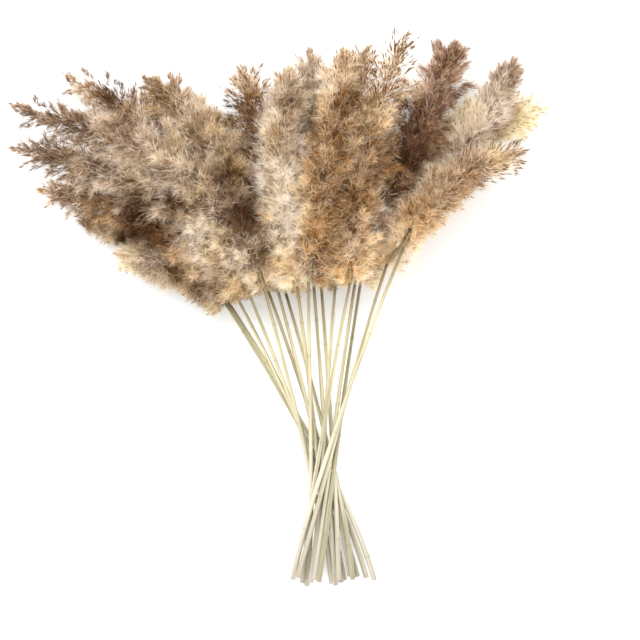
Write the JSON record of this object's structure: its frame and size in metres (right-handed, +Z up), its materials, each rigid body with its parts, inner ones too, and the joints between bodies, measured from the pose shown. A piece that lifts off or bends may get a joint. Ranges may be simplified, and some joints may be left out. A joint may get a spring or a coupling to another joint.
{
  "type": "bunch of dried reeds",
  "caption": "Bunch of dried reeds lying down: straw stems that cross at a waist and fan out to feathery brown, tan and cream plumes.",
  "frame": {"origin": "on the surface that the bunch lies on, under the middle of its bounding box", "axes": "+Y along the bunch from the cut ends to the plumes, +Z up from the surface, +X to the right seen from above"},
  "size_m": [0.5856, 0.6134, 0.1634],
  "materials": {
    "straw": "dry straw-coloured reed stem with a slight sheen",
    "fluff_dark": "dull, dry, silky fluff of a reed plume",
    "fluff_plum": "dull, dry, silky fluff of a reed plume",
    "fluff_brown": "dull, dry, silky fluff of a reed plume",
    "fluff_taupe": "dull, dry, silky fluff of a reed plume",
    "fluff_gold": "dull, dry, silky fluff of a reed plume",
    "fluff_tan": "dull, dry, silky fluff of a reed plume",
    "fluff_cream": "dull, dry, silky fluff of a reed plume",
    "fluff_yellow": "dull, dry, silky fluff of a reed plume"
  },
  "bodies": {
    "root": {"stem_01": "straw", "plume_01": "fluff_taupe", "stem_02": "straw", "plume_02": "fluff_dark", "stem_03": "straw", "plume_03": "fluff_brown", "stem_04": "straw", "plume_04": "fluff_taupe", "stem_05": "straw", "plume_05": "fluff_taupe", "stem_06": "straw", "plume_06": "fluff_brown", "stem_07": "straw", "plume_07": "fluff_tan", "stem_08": "straw", "plume_08": "fluff_tan", "stem_09": "straw", "plume_09": "fluff_cream", "stem_10": "straw", "plume_10": "fluff_gold", "stem_11": "straw", "plume_11": "fluff_brown", "stem_12": "straw", "plume_12": "fluff_taupe", "stem_13": "straw", "plume_13": "fluff_gold", "stem_14": "straw", "plume_14": "fluff_gold", "stem_15": "straw", "plume_15": "fluff_plum", "stem_16": "straw", "plume_16": "fluff_yellow", "stem_17": "straw", "plume_17": "fluff_taupe", "stem_18": "straw", "plume_18": "fluff_brown"}
  },
  "joints": []
}
